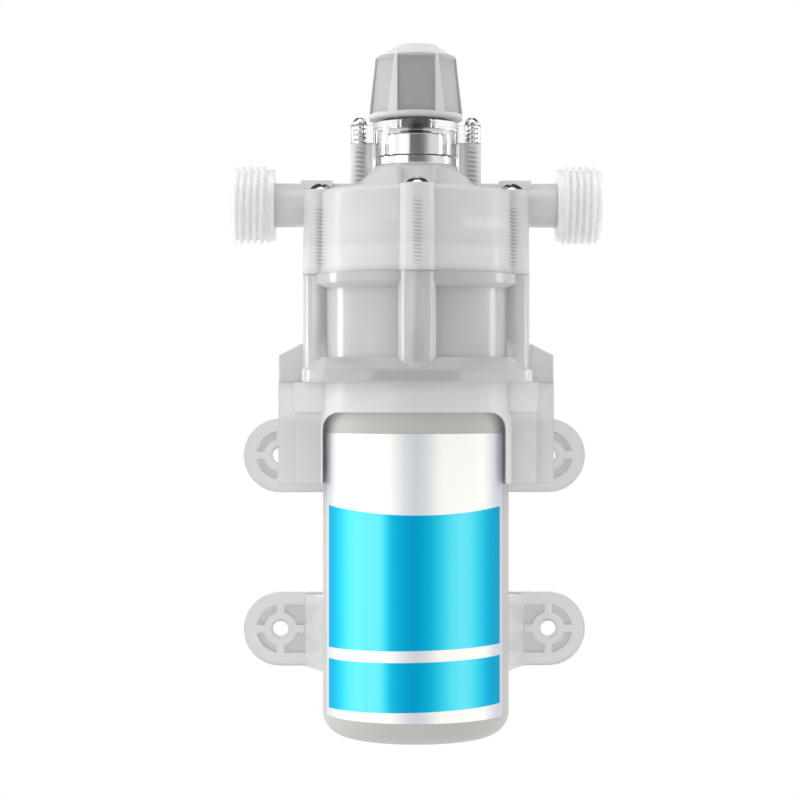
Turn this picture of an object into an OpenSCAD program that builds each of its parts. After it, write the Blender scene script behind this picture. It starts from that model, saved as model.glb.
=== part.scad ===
/* [Feet] */
// Distance between the foot holes across the pump
hole_dx = 76; // [72:1:84]
// Distance between the foot holes along the pump
hole_dz = 49.2; // [46:0.2:56]
// Radius of a foot hole
foot_hole_r = 2.2; // [1.6:0.1:3]
// Radius of the round end of a foot
foot_r = 10.4; // [9.5:0.1:11.5]
// Thickness of the foot plate
foot_t = 3.8; // [3:0.1:6]

/* [Motor] */
// Outer radius of the motor can
can_r = 25.2; // [24.6:0.1:26]
// Length of the motor can
can_l = 90.1; // [86:0.5:120]
// Wall of the motor can
can_wall = 1.5; // [1:0.1:2]
// Radius of the motor shaft
shaft_r = 2.5; // [2:0.1:3]
// Thickness of the plate that closes the front of the motor
front_plate_t = 3; // [2.5:0.1:4]

/* [Motor mount] */
// Height of the motor mount
mount_h = 27.1; // [26:0.1:30]
// Width of the motor mount
mount_w = 73.8; // [72:0.2:80]
// Height of the mount's top above the upper foot holes
mount_rise = 20.5; // [19:0.1:22]
// Wall between the motor and the lower housing
mount_web_t = 2.1; // [1.8:0.1:3]

/* [Pump head] */
// Height of the lower housing
lower_h = 28.6; // [28:0.1:32]
// Radius of the lower housing's wall
lower_r = 27; // [26:0.1:28]
// Thickness of the lower housing's square flange
flange_t = 3; // [2.5:0.1:3.6]
// Height of the upper cover
cover_h = 22.6; // [21.6:0.1:26]
// Radius of the upper cover at its top
cover_r = 28; // [27.4:0.1:28.6]
// Radius of the circle that the head screws stand on
screw_circle_r = 26.8; // [26.4:0.1:27.2]
// Radius of the head screws
head_screw_r = 1.5; // [1.2:0.1:1.8]
// Thickness of the diaphragm
diaphragm_t = 1.5; // [1.2:0.1:1.8]
// Thickness of the valve plate
valve_plate_t = 5.5; // [5.4:0.1:6.5]

/* [Wobble drive] */
// Distance of each chamber from the pump's axis
chamber_circle_r = 13; // [12.8:0.1:13.4]
// Tilt of the wobble plate in degrees
tilt = 4; // [2:0.5:4.5]
// Radius of each piston
piston_r = 4.3; // [3.8:0.1:4.4]

/* [Ports] */
// Distance from one port's end to the other's
port_span = 100.4; // [96:0.2:112]
// Outer radius of the ports' pipe thread
thread_r = 10.48; // [9.8:0.02:12]
// Pitch of the ports' pipe thread
thread_pitch = 1.814; // [1.4:0.001:2.2]
// Radius of the pipe between the thread and the cover
pipe_r = 5.93; // [5.2:0.01:6.4]
// Radius of the water way in the pipe
bore_r = 4; // [3:0.1:4.4]

/* [Regulator] */
// Height of the cone that carries the regulator
cone_h = 7; // [6.6:0.1:9]
// Outer radius of the clear collar
collar_r = 11.5; // [11.4:0.1:11.8]
// Height of the clear collar
collar_h = 9.2; // [8.8:0.1:11]
// Height of the knob
knob_h = 20.4; // [18:0.1:26]
// Radius of the knob at its lower edge
knob_r = 12.8; // [12:0.1:12.9]
// Lift of the adjuster screw in one turn
adjuster_lead = 1; // [0.5:0.1:1]
// Distance of the regulator screws from the axis
reg_screw_x = 15.2; // [15.1:0.1:15.6]

/* [Hidden] */
$fn = 72;

// Clearances
seat_gap = 0.05;
run_gap = 0.06;
step_down = 0.1;
cut = 1;

// Main planes, from the foot holes upwards and downwards
axis_y = -(foot_t + can_r + 0.1);
z_mount_top = hole_dz / 2 + mount_rise;
z_plate_top = z_mount_top - mount_web_t;
z_can_top = z_plate_top - front_plate_t;
z_can_bottom = z_can_top - can_l;
z_leg_bottom = z_mount_top - mount_h;
z_floor_top = z_mount_top + flange_t;
z_seam = z_mount_top + lower_h;
z_diaphragm_top = z_seam + diaphragm_t;
z_valve_top = z_diaphragm_top + valve_plate_t;
z_cover_top = z_seam + cover_h;
z_cone_top = z_cover_top + cone_h;
z_nutation = z_seam + diaphragm_t / 2;

// Motor
can_in_r = can_r - can_wall;
can_corner_r = 6.3;
bearing_r = 5;
rear_boss_h = 5;
magnet_t = 8;
magnet_clear = 0.1;
magnet_arc = 130;
air_gap = 0.8;
core_r = can_in_r - magnet_clear - magnet_t - air_gap;
core_slots = 7;
core_z0 = z_can_bottom + 36;
core_z1 = z_can_top - 18;
winding_h = 7;
winding_r = core_r - 1.6;
commutator_r = 5.5;
commutator_h = 8;
commutator_z = core_z0 - winding_h - 1 - commutator_h;
brush_z = commutator_z + commutator_h / 2;
brush_w = 4;
brush_h = 5;
brush_l = 7;
holder_t = 2.5;
holder_z = commutator_z - holder_t - 1;
guide_wall = 1.2;
spring_room = 5.5;
plate_boss_r = 8;
plate_boss_h = 4.6;
plate_spigot_h = 2.5;
grommet_z = z_can_bottom + 10;
grommet_hole_r = 3;
grommet_lip = 1.2;
grommet_clear = 0.5;

// Label
label_t = 0.15;
label_gap = 0.03;
label_z0 = z_can_bottom + can_corner_r;
label_z1 = z_can_top - 8.5;
label_left = 70.3;
label_right = 64.3;

// Motor mount
cheek_in = 24.5;
cheek_front = 10;
cheek_step_x = 32.3;
cheek_step = 2.4;
band_x = 32.6;
band_step = 2;
arch_left = 24.9;
arch_right = 23.6;
arch_corner_r = 4.5;
arch_h = mount_web_t + front_plate_t + 3;
skirt_r = can_r + 2.2;
mount_screw_circle = 14;
mount_screw_r = 1.5;
mount_screw_head_r = 2.8;
mount_screw_l = front_plate_t + mount_web_t + flange_t - 0.6;

// Foot plate
web_w = 36;
saddle_h = 7;
saddle_z = 8;
saddle_low_w = 62;
saddle_low_h = 14;
saddle_low_z = 10;
saddle_high_w = 46;
foot_floor_t = 1.5;
foot_recess = 6.8;
foot_boss_r = 4.7;
foot_rib_t = 2.2;
foot_hole_chamfer = 0.6;
foot_screw_x = 29;
foot_screw_r = 1.5;
foot_screw_head_r = 2.8;
small_head_h = 1.8;
foot_screw_l = 12;

// Lower housing
boss_r = 4.9;
boss_count = 5;
boss_start = 270;
lower_in_r = 22.5;
rim_r = lower_r + 2.4;
rim_h = 2.6;
flare_h = 3.3;
flange_x = 29.8;
flange_front = 33.4;
flange_back = can_r - 0.4;
flange_corner_r = 7;
ear_x = 36.7;
ear_low = 7.1;
ear_high = 10.5;
ear_front = 9;
ear_back = 12;
seat_t = 2.2;
plate_r = 23.8;
pilot_depth = 16;

// Valve plate and chambers
chamber_count = 3;
chamber_start = 30;
chamber_r = 7.5;
recess_h = valve_plate_t - 1.5;
inlet_circle_r = chamber_circle_r + 2.5;
inlet_flap_r = 4.2;
inlet_hole_circle = 2.6;
inlet_hole_r = 0.8;
inlet_hole_count = 5;
stem_r = 1;
bulb_r = 1.5;
flap_t = 0.9;
outlet_hole_circle = chamber_circle_r - 5.6;
outlet_hole_r = 0.7;
outlet_flap_r = 8.4;
centre_r = 9;
centre_wall = 2.5;
centre_h = 7.8;
gallery_r = 20.5;
gallery_h = 5.3;
seal_r = 0.7;
seal_groove = 1.5;
centre_seal_circle = centre_r + centre_wall / 2;
gallery_seal_circle = gallery_r + 1.7;

// Cover, ports and cone
cover_draft = 0.6;
cover_round = 1.6;
port_drop = 3.2;
z_port = z_cover_top - port_drop;
thread_l = 12.1;
thread_depth = 1.12;
thread_collar = 1.9;
rim_l = 1.1;
mouth_r = 7.3;
mouth_depth = 9.5;
drop_x = 16;
drop_r = 2.6;
riser_r = 3.5;
inlet_end = 6;
cone_top_r = 11.4;
cone_foot_r = 19.5;
cone_mid_r = 15.6;
cone_land = 0.6;
chamber_bore_r = 9.4;
seat_depth = 4.5;
z_valve_seat = z_cone_top - seat_depth;
bypass_x = 7.8;
bypass_r = 1.2;
tower_r = 2.5;
fin_x = 4.1;
fin_t = 1.3;
fin_front = 20.6;
tower_h = cone_h + 6.5;
pad_x0 = 22.6;
pad_x1 = 31;
pad_w = 4.2;

// Screws of the head
head_r = 3.3;
head_h = 1.9;
head_screw_l = cover_h + 14;

// Ball bearing on the inclined pin
pin_r = 3.5;
race_h = 6;
race_in_r = 5.4;
race_out_r = 7.6;
race_outer_r = 9.5;
race_z = -16.5;
ball_r = 1.6;
ball_count = 8;
ball_circle = (race_in_r + race_out_r) / 2;
cage_t = 1;
cage_h = 4.6;

// Eccentric hub and wobble plate
hub_r = 7.5;
hub_z0 = z_floor_top + 2.1;
hub_z1 = z_nutation - 18.2;
cup_wall = 1.7;
cup_floor = 2;
disc_z = -8.5;
disc_t = 2.5;
lobe_r = 5.5;
post_r = 4;
pad_half = diaphragm_t / 2 - 0.05;
post_top = -(pad_half + seat_gap);
piston_t = 1.2;
piston_screw_r = 1.25;
convolute_r = 5.9;
convolute_tube = 1.15;

// Regulator
bonnet_flange_r = 11;
bonnet_flange_t = 2.6;
bonnet_r = 8.6;
bonnet_wall = 0.8;
bonnet_h = 8.6;
z_bonnet_top = z_cone_top + bonnet_h;
z_collar_bottom = z_cone_top + bonnet_flange_t;
z_collar_top = z_collar_bottom + collar_h;
collar_wall = 1.8;
collar_roof = 2.1;
knob_gap = 1;
adjuster_turns = 0.75;
adjuster_travel = adjuster_lead * adjuster_turns;
seat_disc_t = 1.2;
z_seat_disc = z_bonnet_top - bonnet_wall - adjuster_travel - 0.25 - seat_disc_t;
tip_r = 2;
adjuster_r = 3.7;
nut_r = 4.3;
reg_screw_r = 1.1;
reg_head_r = 1.95;
reg_head_h = 2.1;
z_stub = z_collar_top - collar_roof - 0.1;
poppet_r = chamber_bore_r - run_gap;
poppet_h = 2.5;
poppet_seal_r = 5;
poppet_seal_t = 1;
z_poppet = z_valve_seat + poppet_seal_t + seat_gap;
spring_r = 5.6;
wire_r = 0.5;
spring_turns = 4;
knob_top_r = 10.9;
knob_crown_h = 3.5;
knob_shoulder = knob_h - knob_crown_h;
knob_crown = [[8.4, 2], [6.5, 0.9], [5.9, 0.3], [4.5, 0], [0, 0]];
knob_flats = 6;
knob_panel_w = 10;
knob_panel_depth = 1.7;
knob_panel_low = 1.2;
knob_panel_part = 0.76;
stub_in_knob = 10;
knob_cavity_r = 7.2;
knob_hub_r = 5.2;
z_knob = z_collar_top + knob_gap;

// Shared shapes
function arc(cx, cy, r, a0, a1, n) =
    [for (i = [0 : n]) let (a = a0 + (a1 - a0) * i / n) [cx + r * cos(a), cy + r * sin(a)]];

module on_axis(z = 0) translate([0, axis_y, z]) children();

module tilted() on_axis(z_nutation) rotate([tilt, 0, 0]) children();

module polar(n, r, start = 0) {
    for (i = [0 : n - 1])
        rotate([0, 0, start + 360 * i / n]) translate([r, 0, 0]) children();
}

module tube(r_out, r_in, h) {
    difference() {
        cylinder(r = r_out, h = h);
        translate([0, 0, -cut]) cylinder(r = r_in, h = h + 2 * cut);
    }
}

module torus(circle_r, tube_r) rotate_extrude() translate([circle_r, 0]) circle(r = tube_r, $fn = 32);

module along_x(x) translate([x, axis_y, z_port]) rotate([0, 90, 0]) children();

module along_y(x, y, z) translate([x, y, z]) rotate([90, 0, 0]) children();

// Pan head screw with a cross recess, head upwards from z = 0 and shank downwards
module pan_screw(r, l, r_head, h_head) {
    dome_r = (r_head * r_head + h_head * h_head) / (2 * h_head);
    recess = 0.28 * r_head;
    difference() {
        union() {
            rotate_extrude()
                polygon(concat([[0, 0], [r_head, 0]],
                    arc(0, h_head - dome_r, dome_r, acos(r_head / dome_r), 90, 8)));
            translate([0, 0, -l]) cylinder(r = r, h = l + 0.01);
        }
        for (a = [0, 90])
            rotate([0, 0, a]) translate([-r_head * 0.62, -recess / 2, h_head * 0.45])
                cube([r_head * 1.24, recess, h_head]);
    }
}

// Round wire swept along a helix with flat end turns
module coil_spring(r, wire, length, turns, steps = 16, sides = 8) {
    count = turns * steps;
    function lift(i) = wire + (length - 2 * wire) * min(1, max(0, (i / steps - 0.5) / (turns - 1)));
    points = [for (i = [0 : count], j = [0 : sides - 1])
        let (a = 360 * i / steps, b = 360 * j / sides, q = r + wire * cos(b))
            [q * cos(a), q * sin(a), lift(i) + wire * 0.97 * sin(b)]];
    skin = [for (i = [0 : count - 1], j = [0 : sides - 1])
        let (k = (j + 1) % sides)
            [i * sides + j, i * sides + k, (i + 1) * sides + k, (i + 1) * sides + j]];
    ends = [[for (j = [sides - 1 : -1 : 0]) j], [for (j = [0 : sides - 1]) count * sides + j]];
    polyhedron(points, concat(
        [for (f = skin) [f[3], f[2], f[1], f[0]]],
        [for (f = ends) [for (i = [len(f) - 1 : -1 : 0]) f[i]]]));
}

// Motor
module motor_can() color([0.72, 0.71, 0.69]) {
    bottom_in = can_wall;
    on_axis(z_can_bottom) difference() {
        union() {
            rotate_extrude() polygon(concat(
                [[0, 0], [can_r - can_corner_r, 0]],
                arc(can_r - can_corner_r, can_corner_r, can_corner_r, -90, 0, 10),
                [[can_r, can_l], [can_in_r, can_l]],
                arc(can_r - can_corner_r, can_corner_r, can_corner_r - can_wall, 0, -90, 10),
                [[0, bottom_in]]));
            translate([0, 0, bottom_in - 0.01]) tube(bearing_r + 1.5, bearing_r + seat_gap, rear_boss_h);
        }
        translate([0, can_r + cut, grommet_z - z_can_bottom]) rotate([90, 0, 0])
            cylinder(r = grommet_hole_r, h = can_wall + 2 * cut);
    }
}

module motor_front_plate() color([0.75, 0.75, 0.76]) on_axis(z_can_top) {
    difference() {
        union() {
            cylinder(r = can_r, h = front_plate_t);
            translate([0, 0, -plate_spigot_h]) cylinder(r = can_in_r - seat_gap, h = plate_spigot_h + 0.01);
            translate([0, 0, front_plate_t - 0.01]) cylinder(r = plate_boss_r, h = plate_boss_h);
        }
        translate([0, 0, -plate_spigot_h - cut]) cylinder(r = can_in_r - 3, h = plate_spigot_h + cut);
        translate([0, 0, -cut]) cylinder(r = shaft_r + 0.6, h = front_plate_t + plate_boss_h + 2 * cut);
        translate([0, 0, 1]) cylinder(r = bearing_r + seat_gap, h = front_plate_t + plate_boss_h);
        polar(4, mount_screw_circle, 45) translate([0, 0, -cut])
            cylinder(r = mount_screw_r + seat_gap, h = front_plate_t + 2 * cut);
    }
}

module field_magnets() color([0.25, 0.25, 0.27]) on_axis(core_z0 - 3) {
    for (side = [0, 180])
        rotate([0, 0, side - magnet_arc / 2]) rotate_extrude(angle = magnet_arc)
            translate([core_r + air_gap, 0]) square([magnet_t, core_z1 - core_z0 + 6]);
}

module front_bearing() color([0.72, 0.6, 0.38]) on_axis(z_can_top + 1 + seat_gap)
    tube(bearing_r, shaft_r + run_gap, front_plate_t + plate_boss_h - 1.2);

module rear_bearing() color([0.72, 0.6, 0.38]) on_axis(z_can_bottom + can_wall + seat_gap)
    tube(bearing_r, shaft_r + run_gap, rear_boss_h - 0.4);

module brush_holder() color([0.2, 0.17, 0.14]) on_axis(holder_z) {
    wall_h = brush_z + brush_h / 2 + seat_gap - holder_z;
    difference() {
        union() {
            tube(can_in_r - seat_gap, bearing_r + 2.5, holder_t);
            for (side = [0, 180])
                rotate([0, 0, side]) translate([commutator_r + 1.6, -brush_w / 2 - guide_wall, 0])
                    cube([brush_l + spring_room, brush_w + 2 * guide_wall, wall_h + guide_wall]);
        }
        for (side = [0, 180])
            rotate([0, 0, side]) translate([commutator_r, -brush_w / 2 - seat_gap,
                brush_z - brush_h / 2 - seat_gap - holder_z])
                cube([1.6 + brush_l + spring_room - guide_wall,
                    brush_w + 2 * seat_gap, brush_h + 2 * seat_gap]);
    }
}

module brushes() color([0.15, 0.15, 0.15]) on_axis(brush_z - brush_h / 2) {
    for (side = [0, 180])
        rotate([0, 0, side]) difference() {
            translate([commutator_r - 1, -brush_w / 2, 0]) cube([brush_l + 1, brush_w, brush_h]);
            translate([0, 0, -cut]) cylinder(r = commutator_r + run_gap, h = brush_h + 2 * cut);
        }
}

module brush_springs() color([0.7, 0.7, 0.7]) on_axis(brush_z) {
    for (side = [0, 180])
        rotate([0, 0, side]) translate([commutator_r + brush_l + seat_gap, 0, 0]) rotate([0, 90, 0])
            coil_spring(1.4, 0.25, spring_room + 1.6 - guide_wall - 3 * seat_gap, 4, 12, 6);
}

module lead_grommet() color([0.12, 0.12, 0.13]) {
    neck_r = grommet_hole_r - seat_gap;
    along_y(0, axis_y + can_r + 0.9, grommet_z) difference() {
        union() {
            cylinder(r = neck_r + grommet_lip, h = 0.8);
            cylinder(r = neck_r, h = can_wall + 2.4);
            translate([0, 0, can_wall + 1.6]) cylinder(r = neck_r + 0.8, h = 1);
        }
        for (x = [-1.3, 1.3])
            translate([x, 0, -cut]) cylinder(r = 0.9, h = can_wall + 6);
    }
}

module motor_label() color([0.75, 0.85, 0.9]) on_axis(label_z0) {
    rotate([0, 0, 270 - label_left]) rotate_extrude(angle = label_left + label_right)
        translate([can_r + label_gap, 0]) square([label_t, label_z1 - label_z0]);
}

// Rotor of the motor
module motor_shaft() color([0.8, 0.8, 0.82]) {
    z0 = z_can_bottom + can_wall + 0.6;
    on_axis(z0) cylinder(r = shaft_r, h = hub_z1 - 0.6 - z0);
}

module armature_core() color([0.45, 0.45, 0.47]) on_axis(core_z0) {
    slot_w = 3.2;
    mouth = 1.4;
    difference() {
        cylinder(r = core_r, h = core_z1 - core_z0);
        translate([0, 0, -cut]) cylinder(r = shaft_r + seat_gap / 2, h = core_z1 - core_z0 + 2 * cut);
        polar(core_slots, core_r - slot_w - 1.2) translate([0, 0, -cut])
            cylinder(r = slot_w, h = core_z1 - core_z0 + 2 * cut, $fn = 36);
        polar(core_slots, core_r - 2) translate([0, -mouth / 2, -cut])
            cube([4, mouth, core_z1 - core_z0 + 2 * cut]);
    }
}

module windings() color([0.72, 0.4, 0.18]) {
    inner = shaft_r + 2;
    for (z = [core_z0 - winding_h, core_z1])
        on_axis(z) difference() {
            rotate_extrude() translate([inner, 0]) polygon(concat(
                [[0, 0]], arc(winding_r - inner - 2.5, 2.5, 2.5, -90, 0, 6),
                arc(winding_r - inner - 2.5, winding_h - 2.5, 2.5, 0, 90, 6), [[0, winding_h]]));
        }
    on_axis(core_z0) polar(core_slots, core_r - 4.4) cylinder(r = 2.9, h = core_z1 - core_z0, $fn = 36);
}

module commutator() color([0.75, 0.5, 0.3]) on_axis(commutator_z) difference() {
    union() {
        cylinder(r = commutator_r, h = commutator_h);
        translate([0, 0, commutator_h - 1]) cylinder(r = commutator_r + 1, h = 1.5);
    }
    translate([0, 0, -cut]) cylinder(r = shaft_r + seat_gap / 2, h = commutator_h + 4);
    polar(core_slots, commutator_r - 0.7) translate([0, -0.25, -cut]) cube([3, 0.5, commutator_h + 4]);
}

// Mount and feet
module motor_mount() color([0.87, 0.87, 0.87]) {
    half = mount_w / 2;
    depth = -foot_t - (axis_y - cheek_front);
    z_arch = z_mount_top - arch_h;
    difference() {
        union() {
            for (side = [-1, 1]) {
                translate([side > 0 ? cheek_in : -cheek_step_x, axis_y - cheek_front, z_leg_bottom])
                    cube([cheek_step_x - cheek_in, depth, mount_h]);
                translate([side > 0 ? cheek_step_x - 0.5 : -half,
                    axis_y - cheek_front + cheek_step, z_leg_bottom])
                    cube([half - cheek_step_x + 0.5, depth - cheek_step, mount_h]);
            }
            translate([-band_x, axis_y - cheek_front - band_step, z_arch])
                cube([2 * band_x, depth + band_step, arch_h]);
            on_axis(z_arch) cylinder(r = skirt_r, h = arch_h);
            on_axis(z_leg_bottom) intersection() {
                cylinder(r = skirt_r, h = mount_h);
                translate([-skirt_r, -skirt_r, 0]) cube([2 * skirt_r, skirt_r, mount_h]);
            }
        }
        // Arched opening in front of the can
        translate([0, axis_y, z_leg_bottom]) rotate([90, 0, 0]) linear_extrude(2 * can_r) hull() {
            translate([-arch_left, -cut]) square([arch_left + arch_right, cut]);
            for (x = [arch_corner_r - arch_left, arch_right - arch_corner_r])
                translate([x, mount_h - arch_h - arch_corner_r]) circle(r = arch_corner_r);
        }
        on_axis(z_leg_bottom - cut) cylinder(r = can_r + seat_gap, h = z_plate_top - z_leg_bottom + cut);
        on_axis(z_plate_top - cut) cylinder(r = plate_boss_r + seat_gap, h = mount_web_t + 2 * cut);
        on_axis(z_plate_top - cut) polar(4, mount_screw_circle, 45)
            cylinder(r = mount_screw_r + seat_gap, h = mount_web_t + 2 * cut);
        for (side = [-1, 1])
            along_y(side * foot_screw_x, -foot_t + cut, hole_dz / 2)
                cylinder(r = foot_screw_r + seat_gap, h = foot_screw_l + cut);
    }
}

module foot_shape(r) {
    for (side = [-1, 1]) translate([side * hole_dx / 2, 0]) circle(r = r);
}

module foot_plate() color([0.92, 0.92, 0.93]) {
    difference() {
        union() {
            translate([-web_w / 2, -foot_t, -hole_dz / 2]) cube([web_w, foot_t, hole_dz]);
            for (row = [-1, 1]) translate([0, 0, row * hole_dz / 2]) {
                rotate([90, 0, 0]) linear_extrude(foot_t) {
                    foot_shape(foot_r);
                    square([hole_dx, 2 * foot_r], center = true);
                }
            }
            translate([-saddle_high_w / 2, -foot_t - saddle_h, hole_dz / 2 - saddle_z])
                cube([saddle_high_w, saddle_h + 0.5, 2 * saddle_z]);
            // Lower saddle, rising to the can's sides
            translate([0, 0, -hole_dz / 2 - foot_r]) linear_extrude(foot_r + saddle_low_z) polygon([
                [-saddle_low_w / 2, 0.5 - foot_t], [-saddle_low_w / 2, -foot_t - 0.4],
                [-can_r, -foot_t - saddle_low_h], [can_r, -foot_t - saddle_low_h],
                [saddle_low_w / 2, -foot_t - 0.4], [saddle_low_w / 2, 0.5 - foot_t]]);
        }
        on_axis(-hole_dz) cylinder(r = can_r + 0.1, h = 2 * hole_dz);
        // Room for the lead grommet and its wires, open downwards
        lead_r = grommet_hole_r + grommet_lip + grommet_clear;
        along_y(0, cut, grommet_z) cylinder(r = lead_r, h = foot_t + saddle_low_h + 2 * cut);
        translate([-lead_r, -foot_t - saddle_low_h - cut, grommet_z - hole_dz])
            cube([2 * lead_r, foot_t + saddle_low_h + 2 * cut, hole_dz]);
        for (row = [-1, 1]) translate([0, 0, row * hole_dz / 2]) {
            for (side = [-1, 1]) {
                along_y(side * hole_dx / 2, cut, 0) cylinder(r = foot_hole_r, h = foot_t + 2 * cut);
                along_y(side * hole_dx / 2, foot_hole_chamfer - foot_t, 0) cylinder(r1 = foot_hole_r,
                    r2 = foot_hole_r + foot_hole_chamfer + cut, h = foot_hole_chamfer + cut);
                translate([0, -foot_floor_t, 0]) rotate([90, 0, 0]) linear_extrude(foot_t) difference() {
                    union() {
                        translate([side * hole_dx / 2, 0]) circle(r = foot_recess);
                        translate([side > 0 ? saddle_low_w / 2 : -hole_dx / 2, -foot_recess])
                            square([(hole_dx - saddle_low_w) / 2, 2 * foot_recess]);
                    }
                    translate([side * hole_dx / 2, 0]) circle(r = foot_boss_r);
                    translate([side * hole_dx / 2 - foot_recess, -foot_rib_t / 2])
                        square([2 * foot_recess, foot_rib_t]);
                    translate([side * hole_dx / 2 - foot_rib_t / 2, -foot_recess])
                        square([foot_rib_t, 2 * foot_recess]);
                }
            }
        }
        for (side = [-1, 1]) {
            along_y(side * foot_screw_x, cut, hole_dz / 2)
                cylinder(r = foot_screw_r + seat_gap, h = foot_t + 2 * cut);
            along_y(side * foot_screw_x, cut, hole_dz / 2)
                cylinder(r = foot_screw_head_r + seat_gap, h = cut + foot_t - foot_floor_t);
        }
    }
}

module foot_plate_screws() color([0.7, 0.7, 0.72]) {
    for (side = [-1, 1])
        translate([side * foot_screw_x, -(foot_t - foot_floor_t), hole_dz / 2]) rotate([-90, 0, 0])
            pan_screw(foot_screw_r, foot_screw_l - 1, foot_screw_head_r, small_head_h);
}

module mount_screws() color([0.7, 0.7, 0.72]) on_axis(z_floor_top) {
    polar(4, mount_screw_circle, 45)
        pan_screw(mount_screw_r, mount_screw_l, mount_screw_head_r, small_head_h);
}

// Pump head
module flange_outline(shrink = 0) {
    r = flange_corner_r - shrink;
    w = flange_x - shrink;
    hull() for (x = [-w + r, w - r]) {
        translate([x, -flange_front + shrink + r]) circle(r = r, $fn = 48);
        translate([x, flange_back - shrink - r]) circle(r = r, $fn = 48);
    }
}

// Outline of the flare over the flange, cut off at its front corners
module flare_outline(half, front, corner) polygon([[corner - half, -front], [half - corner, -front],
    [half, corner - front], [half, flange_back - 2], [-half, flange_back - 2], [-half, corner - front]]);

module lower_housing() color([0.84, 0.84, 0.84]) {
    difference() {
        on_axis(z_mount_top) {
            linear_extrude(flange_t) flange_outline();
            translate([0, 0, flange_t - 0.5]) hull() {
                linear_extrude(0.6) flare_outline(flange_x - 0.8, flange_front - 0.8, 5);
                translate([0, 0, flare_h + 0.4]) linear_extrude(0.1)
                    flare_outline(lower_r - 2.6, lower_r + 1, 1);
            }
            rotate_extrude() polygon([[0, 1], [lower_r, 1], [lower_r, lower_h - rim_h - 1.2],
                [rim_r, lower_h - rim_h], [rim_r, lower_h], [0, lower_h]]);
            polar(boss_count, screw_circle_r, boss_start)
                translate([0, 0, 1]) cylinder(r = boss_r, h = lower_h - 1 - step_down);
            rotate([0, 0, boss_start]) translate([screw_circle_r, 0, flange_t - 0.5])
                cylinder(r1 = boss_r + 1.3, r2 = boss_r - 0.2, h = 3);
            for (side = [0, 1]) mirror([side, 0, 0]) translate([0, ear_back, 0]) rotate([90, 0, 0])
                linear_extrude(ear_front + ear_back)
                    polygon([[flange_x - 4, 0], [ear_x, 0], [ear_x, ear_low],
                        [flange_x + 0.3, ear_high], [flange_x - 4, ear_high]]);
        }
        on_axis(z_floor_top) cylinder(r = lower_in_r, h = lower_h);
        on_axis(z_seam - seat_t) cylinder(r = plate_r, h = seat_t + cut);
        on_axis(z_mount_top - cut) cylinder(r = plate_boss_r + seat_gap, h = flange_t + 2 * cut);
        on_axis(z_mount_top - cut) polar(4, mount_screw_circle, 45)
            cylinder(r = mount_screw_r + seat_gap, h = flange_t + 2 * cut);
        on_axis(z_seam - pilot_depth) polar(boss_count, screw_circle_r, boss_start)
            cylinder(r = head_screw_r + seat_gap, h = pilot_depth + cut);
    }
}

module diaphragm_seat() color([0.8, 0.8, 0.78]) on_axis(z_seam - seat_t) difference() {
    cylinder(r = plate_r - seat_gap, h = seat_t);
    polar(chamber_count, chamber_circle_r, chamber_start) translate([0, 0, -cut])
        cylinder(r = chamber_r, h = seat_t + 2 * cut);
}

// The sheet is flat at its rim, and each pad follows the tilt of the wobble plate
module diaphragm() color([0.15, 0.15, 0.16]) {
    difference() {
        union() {
            on_axis(z_seam) difference() {
                cylinder(r = plate_r - seat_gap, h = diaphragm_t);
                polar(chamber_count, chamber_circle_r, chamber_start) translate([0, 0, -cut])
                    cylinder(r = convolute_r + 0.5, h = diaphragm_t + 2 * cut);
            }
            for (i = [0 : chamber_count - 1]) {
                a = chamber_start + 360 * i / chamber_count;
                rise = chamber_circle_r * sin(a) * sin(tilt);
                on_axis(z_nutation + rise / 2) rotate([0, 0, a]) translate([chamber_circle_r, 0, 0])
                    torus(convolute_r, convolute_tube);
            }
            tilted() polar(chamber_count, chamber_circle_r, chamber_start)
                translate([0, 0, -pad_half]) cylinder(r = convolute_r - 0.6, h = 2 * pad_half);
        }
        tilted() polar(chamber_count, chamber_circle_r, chamber_start)
            translate([0, 0, -3]) cylinder(r = piston_screw_r + 0.15, h = 6);
    }
}

module valve_plate() color([0.93, 0.93, 0.92]) on_axis(z_diaphragm_top) difference() {
    cylinder(r = plate_r - seat_gap, h = valve_plate_t);
    polar(chamber_count, chamber_circle_r, chamber_start) translate([0, 0, -cut])
        cylinder(r = chamber_r, h = recess_h + cut);
    polar(chamber_count, inlet_circle_r, chamber_start) {
        cylinder(r = stem_r + seat_gap, h = valve_plate_t + cut);
        polar(inlet_hole_count, inlet_hole_circle)
            cylinder(r = inlet_hole_r, h = valve_plate_t + cut, $fn = 24);
    }
    polar(chamber_count, outlet_hole_circle, chamber_start)
        for (y = [-2.2, 0, 2.2]) translate([abs(y) * 0.3, y, 0])
            cylinder(r = outlet_hole_r, h = valve_plate_t + cut, $fn = 24);
    translate([0, 0, -cut]) cylinder(r = stem_r + seat_gap, h = valve_plate_t + 2 * cut);
    translate([0, 0, -cut]) cylinder(r = bulb_r + 0.8, h = recess_h + cut);
}

// Umbrella valve: flap, stem and snap bulb, with the flap's flat face at z = 0 and the stem upwards
module umbrella(flap_r, through) {
    rotate_extrude() polygon([[0, -flap_t], [flap_r * 0.5, -flap_t], [flap_r, -flap_t * 0.4], [flap_r, 0],
        [stem_r, 0], [stem_r, through + 0.1], [bulb_r, through + 0.1], [stem_r * 0.6, through + 1.5],
        [0, through + 1.5]]);
}

module inlet_valves() color([0.2, 0.2, 0.22])
    on_axis(z_diaphragm_top + recess_h - seat_gap) polar(chamber_count, inlet_circle_r, chamber_start)
        umbrella(inlet_flap_r, valve_plate_t - recess_h + seat_gap);

module outlet_valve() color([0.2, 0.2, 0.22])
    on_axis(z_valve_top + seat_gap) mirror([0, 0, 1])
        umbrella(outlet_flap_r, valve_plate_t - recess_h + seat_gap);

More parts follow.
